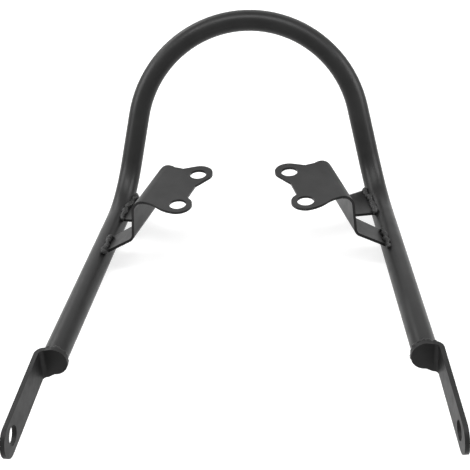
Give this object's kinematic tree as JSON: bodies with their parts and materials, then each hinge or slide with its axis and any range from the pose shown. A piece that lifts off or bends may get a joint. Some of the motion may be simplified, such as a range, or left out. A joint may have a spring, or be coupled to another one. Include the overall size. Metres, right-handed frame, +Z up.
{
  "type": "motorcycle luggage rack",
  "caption": "Hoop-shaped tail rack for a motorcycle: a bent tube with folded seat brackets on its legs and drilled straps on its ends, welded and coated matt black.",
  "frame": {"origin": "midway between the front bolt holes, on the underside of the seat brackets' plates", "axes": "+X to the rider's left, +Y to the rear of the motorcycle, +Z up, with the plates level"},
  "size_m": [0.3574, 0.4877, 0.1782],
  "materials": {
    "tube": "matt black powder coat with a fine grain",
    "bracket": "matt black powder coat with a fine grain",
    "strap": "matt black powder coat with a fine grain",
    "weld": "matt black powder coat over a rough weld bead"
  },
  "bodies": {
    "root": {"hoop_tube": "tube", "left_bracket": "bracket", "left_front_weld": "weld", "left_rear_weld": "weld", "left_strap": "strap", "left_ring_weld": "weld", "right_bracket": "bracket", "right_front_weld": "weld", "right_rear_weld": "weld", "right_strap": "strap", "right_ring_weld": "weld"}
  },
  "joints": []
}
